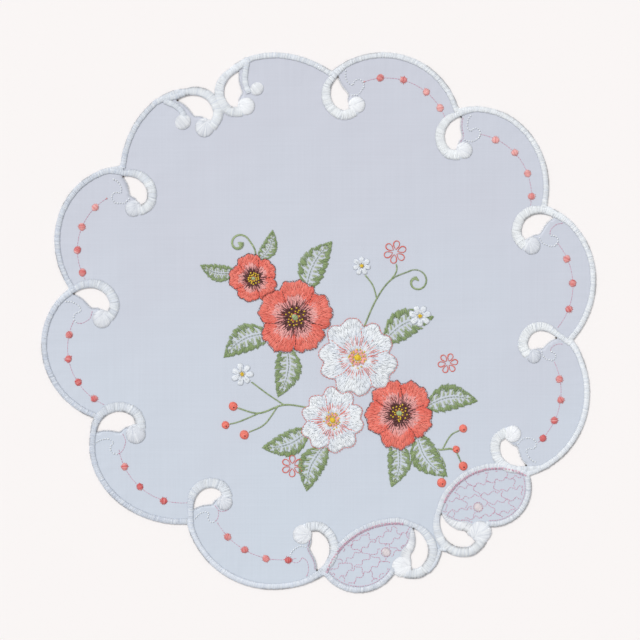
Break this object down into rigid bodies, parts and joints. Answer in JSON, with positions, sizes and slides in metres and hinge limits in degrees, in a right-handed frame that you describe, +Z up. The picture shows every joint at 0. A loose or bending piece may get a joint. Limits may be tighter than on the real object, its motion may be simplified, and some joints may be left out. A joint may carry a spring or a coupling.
{
  "type": "embroidered cutwork doily",
  "caption": "Round flat cloth doily with a scalloped edge, curl-shaped cut-outs bordered in raised satin stitch, bead-stitched lobes and an off-centre embroidered flower spray",
  "frame": {"origin": "centre of the doily's bounding box, on the flat underside that lies on the table", "axes": "+Z up out of the right side of the cloth, +Y towards the two hooked curls' side, the two leaves towards -Y"},
  "size_m": [0.3996, 0.3894, 0.0021],
  "materials": {
    "cloth": "fine plain weave with a faint sheen, pale silver white",
    "white_thread": "glossy rayon satin stitch",
    "coral_thread": "glossy rayon satin stitch",
    "pink_thread": "glossy rayon stitch",
    "brown_thread": "glossy rayon stitch",
    "green_thread": "glossy rayon stitch",
    "yellow_thread": "glossy rayon stitch"
  },
  "bodies": {
    "root": {"doily_cloth": "cloth"}
  },
  "joints": []
}
